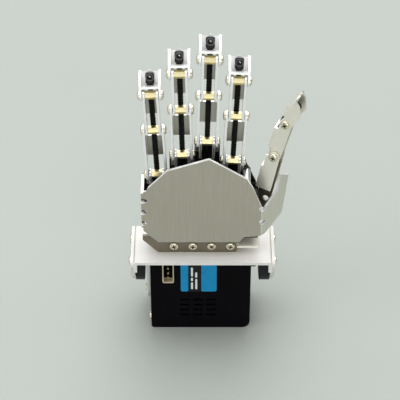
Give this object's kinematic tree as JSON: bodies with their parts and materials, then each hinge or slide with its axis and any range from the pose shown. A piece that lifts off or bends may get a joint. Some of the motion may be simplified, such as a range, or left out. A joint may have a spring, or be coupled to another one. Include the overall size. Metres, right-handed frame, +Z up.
{
  "type": "robot hand",
  "caption": "Five-fingered sheet-metal robot hand on a wrist servo that tilts it; cords wound by a drum in the palm curl the fingers and the thumb.",
  "frame": {"origin": "centre of the servo's bottom face, on which the hand stands", "axes": "+Z up to the fingertips, +X to the thumb side along the wrist axis, +Y to the palm side"},
  "size_m": [0.0627, 0.0309, 0.1316],
  "materials": {
    "black_case": "fine moulded texture, semi-matte",
    "black_horn": "semi-matte",
    "screw_steel": "bright plated",
    "label_film": "glossy film",
    "cream_plastic": "moulded",
    "plain_aluminium": "mill, cut edges bright",
    "motor_can": "plated",
    "board_green": "solder mask",
    "shaft_brass": "turned",
    "white_bracket": "fine satin white",
    "frame_aluminium": "mill",
    "hairline_aluminium": "vertical hairline",
    "spacer_steel": "turned",
    "spacer_gold": "pale yellow plated",
    "dark_plastic": "moulded",
    "black_plate": "black anodised, satin",
    "white_nylon": "moulded",
    "black_bead": "moulded sleeve, semi-gloss",
    "black_cord": "braided"
  },
  "bodies": {
    "wrist_servo": {"gear_case": "black_case", "middle_case": "black_case", "bottom_cover": "black_case", "case_screws": "screw_steel", "servo_label": "label_film", "connector_socket": "cream_plastic", "idler_plate": "plain_aluminium", "servo_motor": "motor_can", "circuit_board": "board_green"},
    "hand": {"output_shaft": "shaft_brass", "drive_horn": "black_horn", "idler_horn": "black_horn", "hand_screws": "screw_steel", "wrist_bracket": "white_bracket", "bracket_arms": "white_bracket", "palm_frame": "frame_aluminium", "back_plate": "hairline_aluminium", "palm_plate": "black_plate", "plate_spacers": "spacer_steel", "knuckle_brackets": "plain_aluminium", "knuckle_spacers": "spacer_gold", "thumb_base": "plain_aluminium", "thumb_bracket": "plain_aluminium", "grip_servo": "dark_plastic", "cord_guide": "black_plate", "little_cord": "black_cord", "ring_cord": "black_cord", "middle_cord": "black_cord", "index_cord": "black_cord", "thumb_cord": "black_cord"},
    "drum": {"winding_drum": "white_nylon"},
    "little_finger_base": {"little_proximal": "plain_aluminium"},
    "little_finger_mid": {"little_middle": "plain_aluminium", "little_spacers": "spacer_gold", "little_screws": "screw_steel"},
    "little_fingertip": {"little_distal": "plain_aluminium", "little_knot": "black_bead"},
    "ring_finger_base": {"ring_proximal": "plain_aluminium"},
    "ring_finger_mid": {"ring_middle": "plain_aluminium", "ring_spacers": "spacer_gold", "ring_screws": "screw_steel"},
    "ring_fingertip": {"ring_distal": "plain_aluminium", "ring_knot": "black_bead"},
    "middle_finger_base": {"middle_proximal": "plain_aluminium"},
    "middle_finger_mid": {"middle_middle": "plain_aluminium", "middle_spacers": "spacer_gold", "middle_screws": "screw_steel"},
    "middle_fingertip": {"middle_distal": "plain_aluminium", "middle_knot": "black_bead"},
    "index_finger_base": {"index_proximal": "plain_aluminium"},
    "index_finger_mid": {"index_middle": "plain_aluminium", "index_spacers": "spacer_gold", "index_screws": "screw_steel"},
    "index_fingertip": {"index_distal": "plain_aluminium", "index_knot": "black_bead"},
    "thumb_mid": {"thumb_proximal": "plain_aluminium", "thumb_spacers": "spacer_gold", "thumb_screws": "screw_steel"},
    "thumb_tip": {"thumb_distal": "plain_aluminium", "thumb_knot": "black_bead"}
  },
  "joints": [
    {"name": "wrist_pitch", "type": "hinge", "parent": "wrist_servo", "child": "hand", "pos_m": [0, 0, 0.0285], "axis": [-1, 0, 0], "range_deg": [-60, 60]},
    {"name": "grip", "type": "hinge", "parent": "hand", "child": "drum", "pos_m": [0, -0.01215, 0.0606], "axis": [-1, 0, 0], "range_deg": [0, 150], "deforming": ["little_cord", "ring_cord", "middle_cord", "index_cord", "thumb_cord"]},
    {"name": "little_knuckle", "type": "hinge", "parent": "hand", "child": "little_finger_base", "pos_m": [-0.0154, -0.01, 0.0759], "axis": [-0.9989, 0, -0.0471], "range_deg": [0, 80]},
    {"name": "little_middle_joint", "type": "hinge", "parent": "little_finger_base", "child": "little_finger_mid", "pos_m": [-0.01632, -0.01, 0.09538], "axis": [-0.9989, 0, -0.0471], "range_deg": [0, 90]},
    {"name": "little_tip_joint", "type": "hinge", "parent": "little_finger_mid", "child": "little_fingertip", "pos_m": [-0.01702, -0.01, 0.11026], "axis": [-0.9989, 0, -0.0471], "range_deg": [0, 45]},
    {"name": "ring_knuckle", "type": "hinge", "parent": "hand", "child": "ring_finger_base", "pos_m": [-0.0064, -0.01, 0.0846], "axis": [-0.9998, 0, -0.0209], "range_deg": [0, 80]},
    {"name": "ring_middle_joint", "type": "hinge", "parent": "ring_finger_base", "child": "ring_finger_mid", "pos_m": [-0.00681, -0.01, 0.1041], "axis": [-0.9998, 0, -0.0209], "range_deg": [0, 90]},
    {"name": "ring_tip_joint", "type": "hinge", "parent": "ring_finger_mid", "child": "ring_fingertip", "pos_m": [-0.00712, -0.01, 0.11899], "axis": [-0.9998, 0, -0.0209], "range_deg": [0, 45]},
    {"name": "middle_knuckle", "type": "hinge", "parent": "hand", "child": "middle_finger_base", "pos_m": [0.0023, -0.01, 0.0904], "axis": [-0.9997, 0, 0.0244], "range_deg": [0, 80]},
    {"name": "middle_middle_joint", "type": "hinge", "parent": "middle_finger_base", "child": "middle_finger_mid", "pos_m": [0.00278, -0.01, 0.10989], "axis": [-0.9997, 0, 0.0244], "range_deg": [0, 90]},
    {"name": "middle_tip_joint", "type": "hinge", "parent": "middle_finger_mid", "child": "middle_fingertip", "pos_m": [0.00314, -0.01, 0.12479], "axis": [-0.9997, 0, 0.0244], "range_deg": [0, 45]},
    {"name": "index_knuckle", "type": "hinge", "parent": "hand", "child": "index_finger_base", "pos_m": [0.0114, -0.01, 0.0819], "axis": [-0.999, 0, 0.0436], "range_deg": [0, 80]},
    {"name": "index_middle_joint", "type": "hinge", "parent": "index_finger_base", "child": "index_finger_mid", "pos_m": [0.01225, -0.01, 0.10138], "axis": [-0.999, 0, 0.0436], "range_deg": [0, 90]},
    {"name": "index_tip_joint", "type": "hinge", "parent": "index_finger_mid", "child": "index_fingertip", "pos_m": [0.0129, -0.01, 0.11627], "axis": [-0.999, 0, 0.0436], "range_deg": [0, 45]},
    {"name": "thumb_knuckle", "type": "hinge", "parent": "hand", "child": "thumb_mid", "pos_m": [0.0267, -0.01, 0.0855], "axis": [-0.3677, -0.9272, 0.0715], "range_deg": [0, 45]},
    {"name": "thumb_tip_joint", "type": "hinge", "parent": "thumb_mid", "child": "thumb_tip", "pos_m": [0.0303, -0.01031, 0.09996], "axis": [-0.3677, -0.9272, 0.0715], "range_deg": [0, 50]}
  ],
  "couplings": [
    {"joint": "little_knuckle", "follows": "grip", "ratio": 0.53333},
    {"joint": "little_middle_joint", "follows": "grip", "ratio": 0.6},
    {"joint": "little_tip_joint", "follows": "grip", "ratio": 0.3},
    {"joint": "ring_knuckle", "follows": "grip", "ratio": 0.53333},
    {"joint": "ring_middle_joint", "follows": "grip", "ratio": 0.6},
    {"joint": "ring_tip_joint", "follows": "grip", "ratio": 0.3},
    {"joint": "middle_knuckle", "follows": "grip", "ratio": 0.53333},
    {"joint": "middle_middle_joint", "follows": "grip", "ratio": 0.6},
    {"joint": "middle_tip_joint", "follows": "grip", "ratio": 0.3},
    {"joint": "index_knuckle", "follows": "grip", "ratio": 0.53333},
    {"joint": "index_middle_joint", "follows": "grip", "ratio": 0.6},
    {"joint": "index_tip_joint", "follows": "grip", "ratio": 0.3},
    {"joint": "thumb_knuckle", "follows": "grip", "ratio": 0.3},
    {"joint": "thumb_tip_joint", "follows": "grip", "ratio": 0.33333}
  ]
}
